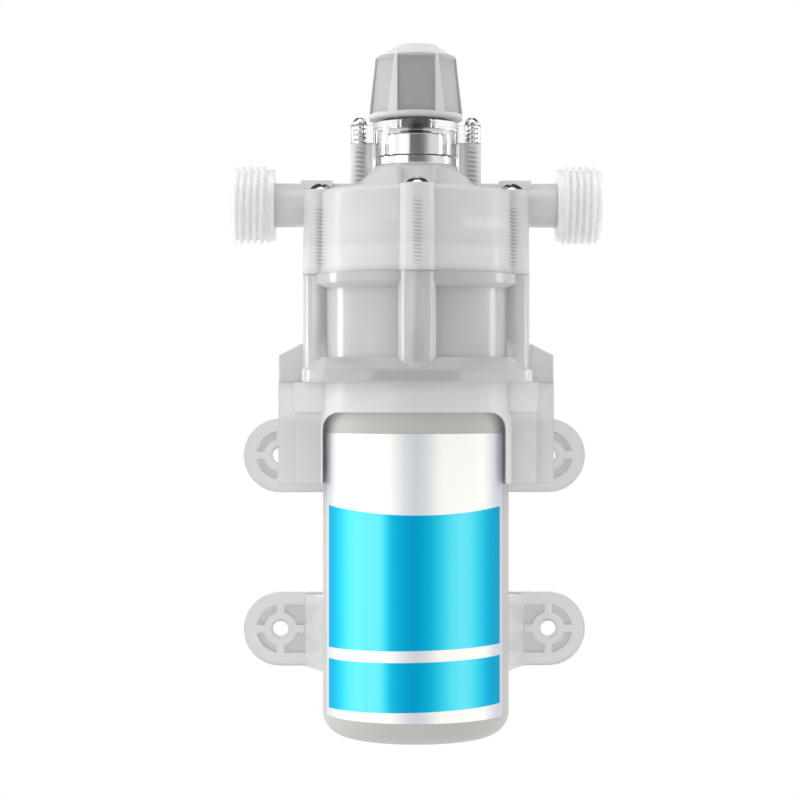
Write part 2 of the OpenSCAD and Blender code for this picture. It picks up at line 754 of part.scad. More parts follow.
module chamber_seal() color([0.15, 0.15, 0.16])
    on_axis(z_valve_top + seal_r + seat_gap) torus(centre_seal_circle, seal_r);

module gallery_seal() color([0.15, 0.15, 0.16])
    on_axis(z_valve_top + seal_r + seat_gap) torus(gallery_seal_circle, seal_r);

// Threaded end of a port, outwards along +X, glued on the cover's pipe: a ring thread with flat crests
module threaded_port() {
    x0 = port_span / 2 - thread_l;
    turns = floor((thread_l - thread_collar - rim_l) / thread_pitch);
    root = thread_r - thread_depth;
    crest = thread_pitch * 0.25;
    difference() {
        along_x(x0) rotate_extrude() polygon(concat(
            [[0, 0], [root - 0.4, 0], [thread_r - 0.5, 0.5], [thread_r - 0.5, thread_collar - 0.9],
                [root, thread_collar - 0.4]],
            [for (i = [0 : turns - 1], p = [[root, 0.1], [thread_r, 0.5 - crest / thread_pitch / 2],
                [thread_r, 0.5 + crest / thread_pitch / 2], [root, 0.9]])
                [p[0], thread_collar + (i + p[1]) * thread_pitch]],
            [[root, thread_l - rim_l], [thread_r - 0.6, thread_l - rim_l + 0.3],
                [thread_r - 0.6, thread_l - 0.4],
                [thread_r - 1, thread_l], [0, thread_l]]));
        along_x(x0 - cut) cylinder(r = pipe_r + seat_gap, h = thread_l);
        along_x(port_span / 2 - mouth_depth) cylinder(r = mouth_r, h = mouth_depth + cut);
    }
}

module inlet_port() color([0.93, 0.93, 0.94]) mirror([1, 0, 0]) threaded_port();

module outlet_port() color([0.93, 0.93, 0.94]) threaded_port();

module water_way(x_end) along_x(x_end) cylinder(r = bore_r, h = port_span);

module upper_cover() color([0.88, 0.88, 0.88]) {
    foot_r1 = cover_r + cover_draft;
    difference() {
        union() {
            on_axis(z_seam) {
                rotate_extrude() polygon(concat([[0, 0], [foot_r1, 0]],
                    arc(cover_r - cover_round, cover_h - cover_round, cover_round, 0, 90, 6),
                    [[0, cover_h]]));
                polar(boss_count, screw_circle_r, boss_start)
                    cylinder(r1 = boss_r, r2 = boss_r - 0.4, h = cover_h);
            }
            on_axis(z_cover_top - 0.01) rotate_extrude() polygon([[0, 0], [cone_foot_r, 0],
                [cone_mid_r, cone_h * 0.4], [cone_top_r, cone_h - cone_land], [cone_top_r, cone_h + 0.01],
                [0, cone_h + 0.01]]);
            for (side = [0, 1]) mirror([side, 0, 0]) {
                along_x(0) cylinder(r = pipe_r, h = port_span / 2 - mouth_depth);
                translate([pad_x0, axis_y - pad_w, z_cover_top - 2]) cube([pad_x1 - pad_x0, 2 * pad_w, 5.2]);
                translate([reg_screw_x, axis_y, z_cover_top - 1]) cylinder(r = tower_r, h = tower_h + 1);
                translate([collar_r + 0.3, axis_y - 1.6, z_cover_top - 1])
                    cube([reg_screw_x - collar_r - 0.3, 3.2, tower_h + 1]);
                translate([fin_x, axis_y - fin_front, z_cover_top - 1])
                    cube([fin_t, fin_front - 9, 1 + cone_h * 0.3]);
                translate([fin_x, axis_y - fin_front + 3, z_cover_top - 1])
                    cube([fin_t, fin_front - 12, 1 + cone_h * 0.85]);
            }
        }
        on_axis(z_seam - cut) cylinder(r = plate_r, h = diaphragm_t + valve_plate_t + cut);
        on_axis(z_valve_top - 0.01) tube(gallery_r, centre_r + centre_wall, gallery_h);
        on_axis(z_valve_top - 0.01) cylinder(r = centre_r, h = centre_h);
        for (circle = [centre_seal_circle, gallery_seal_circle])
            on_axis(z_valve_top - 0.01) tube(circle + seal_groove / 2, circle - seal_groove / 2, seal_groove);
        water_way(0);
        mirror([1, 0, 0]) water_way(inlet_end);
        translate([-drop_x, axis_y, z_valve_top + gallery_h - 1])
            cylinder(r = drop_r, h = z_port - z_valve_top - gallery_h + 1);
        on_axis(z_valve_top + centre_h - 1)
            cylinder(r = riser_r, h = z_valve_seat - z_valve_top - centre_h + 1 + cut);
        on_axis(z_valve_seat) cylinder(r = chamber_bore_r, h = seat_depth + cut);
        translate([-bypass_x, axis_y, z_port])
            cylinder(r = bypass_r, h = z_valve_seat - z_port + cut, $fn = 24);
        on_axis(z_seam - cut) polar(boss_count, screw_circle_r, boss_start)
            cylinder(r = head_screw_r + 0.2, h = cover_h + 2 * cut);
        for (side = [-1, 1])
            translate([side * reg_screw_x, axis_y, z_cover_top + 2])
                cylinder(r = reg_screw_r + seat_gap, h = tower_h);
    }
}

module head_screws() color([0.8, 0.8, 0.82]) on_axis(z_cover_top) {
    polar(boss_count, screw_circle_r, boss_start) pan_screw(head_screw_r, head_screw_l, head_r, head_h);
}

// Wobble drive, in the tilted frame of the inclined pin
module eccentric_hub() color([0.6, 0.6, 0.62]) {
    difference() {
        union() {
            on_axis(hub_z0) cylinder(r = hub_r, h = hub_z1 - hub_z0);
            tilted() translate([0, 0, race_z - 1.7]) cylinder(r = race_in_r - 0.3, h = 1.7);
            tilted() translate([0, 0, race_z - 1]) cylinder(r = pin_r, h = race_h + 1.3);
        }
        on_axis(hub_z0 - cut) cylinder(r = shaft_r + seat_gap / 2, h = hub_z1 - 0.5 - hub_z0 + cut);
        on_axis((hub_z0 + hub_z1) / 2) rotate([0, 90, 0]) cylinder(r = 1.5 + seat_gap, h = hub_r + cut);
    }
}

module hub_set_screw() color([0.3, 0.3, 0.32]) on_axis((hub_z0 + hub_z1) / 2) rotate([0, 90, 0])
    translate([0, 0, shaft_r + seat_gap]) difference() {
        cylinder(r = 1.5, h = hub_r - shaft_r - 0.6);
        translate([0, 0, hub_r - shaft_r - 1.8]) cylinder(r = 0.85, h = 3, $fn = 6);
    }

module race(r_out, r_in) {
    rotate_extrude() difference() {
        translate([r_in, 0]) square([r_out - r_in, race_h]);
        translate([ball_circle, race_h / 2]) circle(r = ball_r + seat_gap, $fn = 40);
    }
}

module bearing_inner_race() color([0.82, 0.82, 0.84]) tilted() translate([0, 0, race_z])
    race(race_in_r, pin_r + seat_gap / 2);

module bearing_outer_race() color([0.82, 0.82, 0.84]) tilted() translate([0, 0, race_z])
    race(race_outer_r, race_out_r);

module bearing_balls() color([0.9, 0.9, 0.92]) tilted() translate([0, 0, race_z + race_h / 2])
    polar(ball_count, ball_circle) sphere(r = ball_r, $fn = 32);

module bearing_cage() color([0.75, 0.6, 0.35]) tilted() translate([0, 0, race_z + race_h / 2]) difference() {
    translate([0, 0, -cage_h / 2]) tube(ball_circle + cage_t / 2, ball_circle - cage_t / 2, cage_h);
    polar(ball_count, ball_circle) sphere(r = ball_r + seat_gap, $fn = 32);
}

module wobble_plate() color([0.85, 0.83, 0.78]) tilted() difference() {
    union() {
        translate([0, 0, race_z - 0.3])
            cylinder(r = race_outer_r + cup_wall, h = disc_z + disc_t - race_z + 0.3);
        polar(chamber_count, chamber_circle_r, chamber_start) {
            translate([0, 0, disc_z + step_down]) cylinder(r = lobe_r, h = disc_t - 2 * step_down);
            translate([0, 0, disc_z + 0.5]) cylinder(r = post_r, h = post_top - disc_z - 0.5);
        }
        for (i = [0 : chamber_count - 1]) rotate([0, 0, chamber_start + 360 * i / chamber_count])
            translate([race_outer_r, -0.8, race_z + 2])
                cube([chamber_circle_r - race_outer_r + 3, 1.6, disc_z - race_z - 1.5]);
    }
    translate([0, 0, race_z - 1]) cylinder(r = race_outer_r + seat_gap / 2, h = race_h + 1);
    translate([0, 0, race_z]) cylinder(r = race_out_r - 0.4, h = race_h + cup_floor);
    polar(chamber_count, chamber_circle_r, chamber_start) translate([0, 0, disc_z + disc_t])
        cylinder(r = piston_screw_r + seat_gap, h = 10);
}

module pistons() color([0.9, 0.9, 0.88]) tilted() polar(chamber_count, chamber_circle_r, chamber_start)
    translate([0, 0, pad_half + seat_gap]) difference() {
        cylinder(r = piston_r, h = piston_t);
        translate([0, 0, -cut]) cylinder(r = piston_screw_r + seat_gap, h = piston_t + 2 * cut);
        translate([0, 0, 0.3])
            cylinder(r1 = piston_screw_r + seat_gap, r2 = piston_screw_r + 1.2, h = piston_t - 0.25);
    }

module piston_screws() color([0.75, 0.75, 0.77]) tilted()
    polar(chamber_count, chamber_circle_r, chamber_start)
    difference() {
        union() {
            translate([0, 0, disc_z + disc_t + 0.5])
                cylinder(r = piston_screw_r, h = pad_half + seat_gap + 0.6 - disc_z - disc_t - 0.5);
            translate([0, 0, pad_half + seat_gap + 0.42])
                cylinder(r1 = piston_screw_r, r2 = piston_screw_r + 1, h = piston_t - 0.5);
        }
        translate([0, 0, pad_half + piston_t - 0.35]) {
            translate([-1.3, -0.25, 0]) cube([2.6, 0.5, 2]);
            translate([-0.25, -1.3, 0]) cube([0.5, 2.6, 2]);
        }
    }

// Regulator
module bypass_poppet() color([0.9, 0.9, 0.9]) on_axis(z_poppet) difference() {
    cylinder(r = poppet_r, h = poppet_h);
    translate([0, 0, 1]) tube(spring_r + wire_r + 0.3, spring_r - wire_r - 0.8, poppet_h);
    polar(4, poppet_r) translate([0, 0, -cut]) cylinder(r = 1.2, h = poppet_h + 2 * cut, $fn = 24);
}

module poppet_seal() color([0.15, 0.15, 0.16]) on_axis(z_valve_seat + seat_gap / 2)
    cylinder(r = poppet_seal_r, h = poppet_seal_t);

module regulator_spring() color([0.75, 0.75, 0.77]) on_axis(z_poppet + 1 + seat_gap)
    coil_spring(spring_r, wire_r, z_seat_disc - z_poppet - 1 - 2 * seat_gap, spring_turns, 20, 8);

module spring_seat() color([0.8, 0.8, 0.82]) on_axis(z_seat_disc)
    cylinder(r = bonnet_r - bonnet_wall - 0.2, h = seat_disc_t);

module spring_bonnet() color([0.85, 0.85, 0.87]) on_axis(z_cone_top) difference() {
    union() {
        rotate_extrude() polygon(concat([[0, 0]],
            arc(bonnet_flange_r - 0.4, 0.4, 0.4, -90, 0, 3),
            arc(bonnet_flange_r - 0.4, bonnet_flange_t - 0.4, 0.4, 0, 90, 3),
            [[bonnet_r, bonnet_flange_t]],
            arc(bonnet_r - 0.5, bonnet_h - 0.5, 0.5, 0, 90, 3), [[0, bonnet_h]]));
    }
    translate([0, 0, -cut]) cylinder(r = bonnet_r - bonnet_wall, h = bonnet_h - bonnet_wall + cut);
    cylinder(r = tip_r + 0.2, h = bonnet_h + cut);
}

module regulator_collar() color([0.93, 0.94, 0.95]) {
    ear_z = z_cover_top + tower_h;
    ear_t = z_collar_top - 0.2 - ear_z;
    difference() {
        union() {
            on_axis(z_collar_bottom) cylinder(r = collar_r, h = collar_h);
            for (side = [-1, 1]) {
                translate([side * reg_screw_x, axis_y, ear_z]) cylinder(r = tower_r, h = ear_t);
                translate([side > 0 ? collar_r - 1 : -reg_screw_x, axis_y - 1.6, ear_z])
                    cube([reg_screw_x - collar_r + 1, 3.2, ear_t]);
            }
        }
        on_axis(z_collar_bottom - cut) cylinder(r = collar_r - collar_wall, h = collar_h - collar_roof + cut);
        on_axis(z_collar_bottom) cylinder(r = nut_r + seat_gap, h = collar_h + cut);
        for (side = [-1, 1])
            translate([side * reg_screw_x, axis_y, ear_z - cut])
                cylinder(r = reg_screw_r + seat_gap, h = ear_t + 2 * cut);
    }
}

module regulator_screws() color([0.7, 0.7, 0.72]) {
    for (side = [-1, 1])
        translate([side * reg_screw_x, axis_y, z_collar_top - 0.2])
            pan_screw(reg_screw_r, tower_h + 2, reg_head_r, reg_head_h);
}

module adjuster_nut() color([0.35, 0.35, 0.37]) on_axis(z_collar_top - collar_roof)
    tube(nut_r, adjuster_r + run_gap, collar_roof);

module adjuster_screw() color([0.3, 0.3, 0.32]) {
    on_axis(z_seat_disc + seat_disc_t + seat_gap) cylinder(r = tip_r, h = z_stub - z_seat_disc - seat_disc_t);
    on_axis(z_stub) cylinder(r = adjuster_r, h = z_knob + stub_in_knob - z_stub);
}

module knob() color([0.9, 0.9, 0.9]) on_axis(z_knob) {
    slope = atan((knob_r - knob_top_r) / knob_shoulder);
    difference() {
        rotate_extrude() polygon(concat(
            [[0, 0], [knob_r - 0.3, 0], [knob_r, 0.4], [knob_top_r, knob_shoulder]],
            [for (p = knob_crown) [p[0], knob_h - p[1]]]));
        for (i = [0 : knob_flats - 1])
            rotate([0, 0, 30 + 360 * i / knob_flats]) translate([knob_r - knob_panel_depth, 0, 0])
                rotate([0, -slope, 0])
                    translate([0, -knob_panel_w / 2, knob_panel_low])
                        cube([8, knob_panel_w, knob_h * knob_panel_part]);
        translate([0, 0, -cut]) cylinder(r = adjuster_r + seat_gap, h = stub_in_knob + cut + seat_gap);
        translate([0, 0, -cut]) tube(knob_cavity_r + 2, knob_hub_r, 4 + cut);
        translate([0, 0, 2]) tube(knob_cavity_r, knob_hub_r, knob_shoulder - 4);
    }
}

motor_can();
motor_front_plate();
field_magnets();
front_bearing();
rear_bearing();
brush_holder();
brushes();
brush_springs();
lead_grommet();
motor_label();
motor_shaft();
armature_core();
windings();
commutator();
motor_mount();
foot_plate();
foot_plate_screws();
mount_screws();
lower_housing();
diaphragm_seat();
diaphragm();
valve_plate();
inlet_valves();
outlet_valve();
chamber_seal();
gallery_seal();
upper_cover();
inlet_port();
outlet_port();
head_screws();
eccentric_hub();
hub_set_screw();
bearing_inner_race();
bearing_balls();
bearing_cage();
bearing_outer_race();
wobble_plate();
pistons();
piston_screws();
bypass_poppet();
poppet_seal();
regulator_spring();
spring_seat();
spring_bonnet();
regulator_collar();
regulator_screws();
adjuster_nut();
adjuster_screw();
knob();
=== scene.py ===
# Looks of the diaphragm pump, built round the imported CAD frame.
# Metres, +X from inlet to outlet, +Y into the wall, +Z up.
import math

import bpy
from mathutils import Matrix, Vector


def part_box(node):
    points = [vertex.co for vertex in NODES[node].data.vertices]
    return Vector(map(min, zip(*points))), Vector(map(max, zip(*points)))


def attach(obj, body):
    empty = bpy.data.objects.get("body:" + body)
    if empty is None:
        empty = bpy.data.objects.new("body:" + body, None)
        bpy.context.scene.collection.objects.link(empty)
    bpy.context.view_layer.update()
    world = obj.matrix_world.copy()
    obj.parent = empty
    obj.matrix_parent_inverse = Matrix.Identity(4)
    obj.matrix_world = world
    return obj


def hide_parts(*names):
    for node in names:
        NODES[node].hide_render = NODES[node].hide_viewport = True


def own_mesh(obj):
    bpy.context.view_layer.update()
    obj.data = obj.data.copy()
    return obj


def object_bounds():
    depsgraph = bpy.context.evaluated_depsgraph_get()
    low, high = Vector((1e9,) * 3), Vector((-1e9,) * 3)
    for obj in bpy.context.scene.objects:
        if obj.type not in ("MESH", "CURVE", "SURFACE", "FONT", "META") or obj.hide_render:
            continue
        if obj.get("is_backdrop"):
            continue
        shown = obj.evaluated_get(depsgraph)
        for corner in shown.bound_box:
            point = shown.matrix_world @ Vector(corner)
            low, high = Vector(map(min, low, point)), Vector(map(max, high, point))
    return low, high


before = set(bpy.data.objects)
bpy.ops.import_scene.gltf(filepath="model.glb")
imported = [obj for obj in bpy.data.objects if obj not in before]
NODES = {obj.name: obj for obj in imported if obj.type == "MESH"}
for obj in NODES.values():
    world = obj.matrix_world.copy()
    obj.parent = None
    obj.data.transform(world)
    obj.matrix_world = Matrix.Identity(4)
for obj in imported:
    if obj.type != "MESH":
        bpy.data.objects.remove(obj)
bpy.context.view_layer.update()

MM = 0.001

can_low, can_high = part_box("motor_can")
AXIS_Y = (can_low[1] + can_high[1]) / 2
CAN_R = (can_high[0] - can_low[0]) / 2

# Camera: level, 560 mm from the pump's axis and a little left of straight ahead
CAMERA_DISTANCE = 0.560
CAMERA_TURN = math.radians(-0.8)
FOCAL_MM = 92.8
SENSOR_MM = 36.0
AXIS_SHIFT = -15.8 / 800
HORIZON_Z = 0.0403

# The room: its light on matt surfaces (soft) and what gloss mirrors (sharp).
# Each starts at its front level and rises by the second value towards the sides.
SOFT_FRONT, SOFT_RISE = 0.56, 0.72
SHARP_FRONT, SHARP_RISE = 0.2, 0.85
CARD_SHADE = -0.95
ZENITH_LIGHT = 0.8
RIGHT_FALL = -0.13
# Start and end of those changes, along Y or Z of the direction that is looked in
SOFT_TURN = (-1.0, -0.1)
SHARP_TURN = (-1.0, -0.55)
BEHIND = (-0.3, 0.0)
CARD_HEIGHT = (0.2, 0.4)
ZENITH_HEIGHT = (0.6, 0.9)

# Softboxes: name, place, width and height, power in watts
SOFTBOXES = [
    ("left_strip", (-0.6, AXIS_Y + 0.06, 0.10), (0.1, 0.8), 1.6),
    ("right_strip", (0.6, AXIS_Y + 0.06, 0.10), (0.1, 0.8), 0.9),
    ("front_box", (-0.5, AXIS_Y - 0.6, 0.2), (0.5, 0.7), 1.0),
    ("top_box", (0, AXIS_Y - 0.2, 0.75), (0.5, 0.4), 0.45),
]
FLOOR_HALF = 1.5
FLOOR_GAP = 0.5 * MM

# Surface grain: noise scale, bump strength, bump distance
PLASTIC_GRAIN = (900, 0.12, 0.1 * MM)
KNOB_GRAIN = (700, 0.2, 0.1 * MM)
METAL_GRAIN = (1500, 0.08, 0.05 * MM)
RUBBER_GRAIN = (1200, 0.2, 0.1 * MM)
ROUGHNESS_SPREAD = 0.12
COAT_ROUGHNESS = 0.1

# Foil label: angles from the can's front, as seen from above
LABEL_HALF = math.radians(72)
LABEL_LEFT = math.radians(-70.3)
LABEL_RIGHT = math.radians(64.3)
PANEL_MARGIN = math.radians(3.4)
PANEL_EDGE = 0.12 * MM

# Knob: height of its crown, how much its radius shrinks below it, how deep a panel starts to
# show and shows in full, and how far below the crown the panels start to end and end
KNOB_CROWN = 3.5 * MM
KNOB_DRAFT = 1.9 * MM
PANEL_DEPTH = (0.25 * MM, 0.6 * MM)
PANEL_END = (0.9 * MM, 0.2 * MM)
# How much noise clouds the painted shade of the panels
PANEL_CLOUDS = 0.22

# Recess of a foot, along Y, and how much painted shade darkens its floor
RECESS_BACK = (-2.1 * MM, 0.5 * MM)
RECESS_EDGE = 0.3 * MM
RECESS_SHADE = 0.16

# Valve plate seen through the cover: how its lower and its upper edge fade out
PLATE_LOW_FADE = (-1.2 * MM, 0.8 * MM)
PLATE_HIGH_FADE = 0.6 * MM

# Screw threads that show faintly through the cover, painted as darker stripes of shade:
# distance from the middle, low end, high end, share of painted shade, pitch
HEAD_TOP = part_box("head_screws")[1][2]
COVER_SCREWS = [
    (0.0, 74.5 * MM, HEAD_TOP - 5 * MM, 0.34, 0.95 * MM),
    (25.5 * MM, 74.5 * MM, HEAD_TOP - 6 * MM, 0.35, 0.95 * MM),
    (15.2 * MM, 96.5 * MM, 109.5 * MM, 0.5, 1.25 * MM),
]
SCREW_SIDE_FADE = (0.4 * MM, 1.9 * MM)
SCREW_END_FADE = 2 * MM
SCREW_FRONT_FADE = 1 * MM
TURN_SLANT = 0.12

# Regulator screws; a ridge takes this part of the pitch on each side of its crest
REG_HEAD_R = 1.95 * MM
REG_HEAD_H = 2.1 * MM
REG_CORE_R = 1.0 * MM
REG_ROOT_R = 1.11 * MM
REG_THREAD_R = 1.28 * MM
REG_PITCH = 1.25 * MM
REG_FLANK = 0.32

# Port threads: root and flank are parts of the pitch, on each side of the ridge
THREAD_L = 12.1 * MM
THREAD_R = 10.48 * MM
THREAD_PITCH = 1.814 * MM
THREAD_DEPTH = 1.16 * MM
THREAD_START = 1.9 * MM
THREAD_RUNOUT = 0.4 * MM
THREAD_ROOT = 0.08
THREAD_FLANK = 0.27
COLLAR_R = 9.76 * MM
COLLAR_CORNER = 0.4 * MM
COLLAR_END = THREAD_START - 0.2 * MM
RIM_R = 9.5 * MM
RIM_START = THREAD_L - 1.0 * MM
RIM_CHAMFER = 0.5 * MM
RIM_SLOPE = 0.8
MOUTH_R = 7.3 * MM
MOUTH_DEPTH = 9.5 * MM
MOUTH_FLARE = 0.4 * MM
MOUTH_FLARE_L = 0.3 * MM
SLEEVE_R = 5.98 * MM


def srgb(r, g, b):
    """Linear colour from the 0 to 255 values that a screen shows."""
    return tuple(((v / 255 + 0.055) / 1.055) ** 2.4 if v > 10 else v / 255 / 12.92 for v in (r, g, b))


def new_material(name):
    """Material with its Principled shader and its node tree."""
    mat = bpy.data.materials.new(name)
    mat.use_nodes = True
    return mat, mat.node_tree.nodes["Principled BSDF"], mat.node_tree


def link(tree, out_socket, in_socket):
    tree.links.new(out_socket, in_socket)


def object_coords(tree):
    return tree.nodes.new("ShaderNodeTexCoord").outputs["Object"]


def axes(tree):
    """The object's x, y and z at the shaded point."""
    split = tree.nodes.new("ShaderNodeSeparateXYZ")
    link(tree, object_coords(tree), split.inputs["Vector"])
    return split.outputs["X"], split.outputs["Y"], split.outputs["Z"]


def number(tree, operation, *values):
    """One Math node; each value is a number or a socket."""
    node = tree.nodes.new("ShaderNodeMath")
    node.operation = operation
    for socket, value in zip(node.inputs, values):
        if isinstance(value, (int, float)):
            socket.default_value = value
        else:
            link(tree, value, socket)
    return node.outputs[0]


def product(tree, first, *others):
    for other in others:
        first = number(tree, "MULTIPLY", first, other)
    return first


def opposite(tree, value):
    return number(tree, "SUBTRACT", 1, value)


def ramp_between(tree, value, start, end):
    """0 at start and 1 at end, smooth and clamped."""
    span = tree.nodes.new("ShaderNodeMapRange")
    span.interpolation_type = "SMOOTHSTEP"
    span.inputs["From Min"].default_value = start
    span.inputs["From Max"].default_value = end
    link(tree, value, span.inputs["Value"])
    return span.outputs["Result"]


def fall_between(tree, value, start, end):
    """1 at start and 0 at end, smooth and clamped."""
    return opposite(tree, ramp_between(tree, value, start, end))


def within(tree, value, low, high, soft):
    """1 between low and high, falling to 0 over the soft distance inside each end."""
    up = ramp_between(tree, value, low, low + soft)
    return product(tree, up, fall_between(tree, value, high - soft, high))


def blend(tree, mask, first, second, kind="MIX"):
    """The first colour where the mask is 0 and the second where it is 1."""
    mix = tree.nodes.new("ShaderNodeMix")
    mix.data_type = "RGBA"
    mix.blend_type = kind
    link(tree, mask, mix.inputs["Factor"])
    for socket, value in ((mix.inputs["A"], first), (mix.inputs["B"], second)):
        if isinstance(value, tuple):
            socket.default_value = (*value, 1)
        else:
            link(tree, value, socket)
    return mix.outputs["Result"]


def darken(tree, color, share):
    """The colour made darker by a share from 0 to 1, which is a socket."""
    return blend(tree, share, color, (0, 0, 0), "MULTIPLY")


def noise(tree, scale, detail=3, stretch=(1, 1, 1)):
    """Noise from 0 to 1 that is fixed to the object; stretch squeezes it along each axis."""
    node = tree.nodes.new("ShaderNodeTexNoise")
    node.inputs["Scale"].default_value = scale
    node.inputs["Detail"].default_value = detail
    place = tree.nodes.new("ShaderNodeMapping")
    place.inputs["Scale"].default_value = stretch
    link(tree, object_coords(tree), place.inputs["Vector"])
    link(tree, place.outputs["Vector"], node.inputs["Vector"])
    return node.outputs["Fac"]


def grain(tree, shader, look, radius=0.0):
    """Fine surface grain as a bump, on edges softened by a radius."""
    scale, strength, distance = look
    bump = tree.nodes.new("ShaderNodeBump")
    bump.inputs["Strength"].default_value = strength
    bump.inputs["Distance"].default_value = distance
    link(tree, noise(tree, scale), bump.inputs["Height"])
    if radius:
        edge = tree.nodes.new("ShaderNodeBevel")
        edge.samples = 4
        edge.inputs["Radius"].default_value = radius
        link(tree, edge.outputs["Normal"], bump.inputs["Normal"])
    link(tree, bump.outputs["Normal"], shader.inputs["Normal"])


def finish_surface(tree, shader, color, roughness, uneven, scale, stretch=(1, 1, 1)):
    """Colour and roughness that drift a little over the surface."""
    drift = noise(tree, scale, 4, stretch)
    link(tree, darken(tree, color, product(tree, drift, uneven)), shader.inputs["Base Color"])
    rough = number(tree, "MULTIPLY_ADD", noise(tree, scale * 2.5), ROUGHNESS_SPREAD,
                   roughness - ROUGHNESS_SPREAD / 2)
    link(tree, rough, shader.inputs["Roughness"])


def set_plastic(tree, shader, color, roughness, transmission, radius=0.5 * MM, ior=1.46, coat=0.0,
                sheen=0.0, sheen_roughness=0.55, uneven=0.05, depth=0.0, upright=0.25, look=PLASTIC_GRAIN):
    """Plastic with a satin skin (coat) and a milky glow of walls seen aslant (sheen).

    Where depth is set, light enters, scatters for about that depth and leaves again.
    """
    finish_surface(tree, shader, color, roughness, uneven, scale=120, stretch=(1, 1, upright))
    for name, value in (("Transmission Weight", transmission), ("IOR", ior),
                        ("Sheen Weight", sheen), ("Sheen Roughness", sheen_roughness),
                        ("Coat Weight", coat), ("Coat Roughness", COAT_ROUGHNESS)):
        shader.inputs[name].default_value = value
    if depth:
        shader.inputs["Subsurface Weight"].default_value = 1.0
        shader.inputs["Subsurface Radius"].default_value = (1, 1, 1)
        shader.inputs["Subsurface Scale"].default_value = depth
    grain(tree, shader, look, radius)


def plastic(name, color, roughness, transmission, **rest):
    mat, shader, tree = new_material(name)
    set_plastic(tree, shader, color, roughness, transmission, **rest)
    return mat


def metal(name, color, roughness):
    mat, shader, tree = new_material(name)
    finish_surface(tree, shader, color, roughness, uneven=0.12, scale=260)
    shader.inputs["Metallic"].default_value = 1
    grain(tree, shader, METAL_GRAIN, radius=0.2 * MM)
    return mat


def rubber(name, color):
    """Matt black and dark pieces: rubber, ferrite and carbon."""
    mat, shader, tree = new_material(name)
    finish_surface(tree, shader, color, roughness=0.75, uneven=0.3, scale=200)
    grain(tree, shader, RUBBER_GRAIN)
    return mat


def across_label(tree):
    """0 at the label half-angle left of the can's front and 1 at the same angle right of it."""
    x, y, _ = axes(tree)
    angle = number(tree, "ARCTAN2", x, number(tree, "SUBTRACT", AXIS_Y, y))
    return number(tree, "MULTIPLY_ADD", angle, 0.5 / LABEL_HALF, 0.5)


def foil_with_painted_reflections(tree, across, dull, clear, bright, streaks):
    """Foil colour with painted reflections: soft streaks, clear at their sides and bright in the middle.

    Each streak has a middle, a reach to both sides and a share; a share above 1 widens its middle.
    """
    mask = 0.0
    for middle, reach, share in streaks:
        off = number(tree, "ABSOLUTE", number(tree, "SUBTRACT", across, middle))
        mask = number(tree, "MAXIMUM", mask, product(tree, fall_between(tree, off, 0, reach), share))
    core = number(tree, "POWER", mask, 3)
    return blend(tree, core, blend(tree, mask, dull, clear), bright)


def label_foil(name, silver, blue, panels):
    """Silver foil with blue printed panels, both crossed by painted reflection streaks; each edge of a
    panel has a height, a bow and a skew.
    """
    mat, shader, tree = new_material(name)
    x, _, z = axes(tree)
    across = across_label(tree)
    aside = number(tree, "DIVIDE", x, CAN_R)
    bowed = product(tree, aside, aside)
    left = 0.5 + 0.5 * (LABEL_LEFT + PANEL_MARGIN) / LABEL_HALF
    right = 0.5 + 0.5 * (LABEL_RIGHT - PANEL_MARGIN) / LABEL_HALF
    sides = within(tree, across, left, right, soft=0.002)
    # Painted reflections: soft bright streaks across the silver and across the blue print
    color = foil_with_painted_reflections(tree, across, *silver)
    print_color = foil_with_painted_reflections(tree, across, *blue)
    for edges in panels:
        mask = sides
        for (height, bow, skew), sign in zip(edges, (1, -1)):
            skewed = number(tree, "MULTIPLY_ADD", aside, skew, height)
            edge = number(tree, "MULTIPLY_ADD", bowed, bow, skewed)
            over = product(tree, number(tree, "SUBTRACT", z, edge), sign)
            mask = product(tree, mask, ramp_between(tree, over, 0, PANEL_EDGE))
        color = blend(tree, mask, color, print_color)
    finish_surface(tree, shader, color, roughness=0.4, uneven=0.03, scale=60, stretch=(1, 1, 0.2))
    shader.inputs["Metallic"].default_value = 0.05
    shader.inputs["Specular IOR Level"].default_value = 0.04
    return mat


def painted_thread_shade(tree, at_x, low, high, pitch):
    """Mask of painted shade stripes from a screw's thread that shows through a boss at at_x, between two
    heights.
    """
    x, y, z = axes(tree)
    beside = number(tree, "ABSOLUTE", number(tree, "SUBTRACT", number(tree, "ABSOLUTE", x), at_x))
    near = fall_between(tree, beside, *SCREW_SIDE_FADE)
    ends = within(tree, z, low, high, SCREW_END_FADE)
    lead = number(tree, "MULTIPLY_ADD", x, TURN_SLANT, z)
    wave = number(tree, "SINE", product(tree, lead, 2 * math.pi / pitch))
    front = fall_between(tree, y, AXIS_Y - SCREW_FRONT_FADE, AXIS_Y)
    return product(tree, near, ends, ramp_between(tree, wave, -1.0, 1.0), front)


def cover_plastic(name, milky, band):
    """Milky cover with the white valve plate showing faintly through it, and painted shade in stripes
    where the screws' threads lie behind it.
    """
    mat, shader, tree = new_material(name)
    z = axes(tree)[2]
    low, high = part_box("valve_plate")
    above = ramp_between(tree, z, low[2] + PLATE_LOW_FADE[0], low[2] + PLATE_LOW_FADE[1])
    below = fall_between(tree, z, high[2], high[2] + PLATE_HIGH_FADE)
    color = blend(tree, product(tree, above, below), milky, band)
    # Painted shade: darker stripes where the screws' threads lie behind the cover
    for at_x, start, end, share, pitch in COVER_SCREWS:
        mask = painted_thread_shade(tree, at_x, start, end, pitch)
        color = darken(tree, color, product(tree, mask, share))
    set_plastic(tree, shader, color, 0.42, 0.46, coat=0.2, sheen=0.3, depth=1 * MM)
    return mat


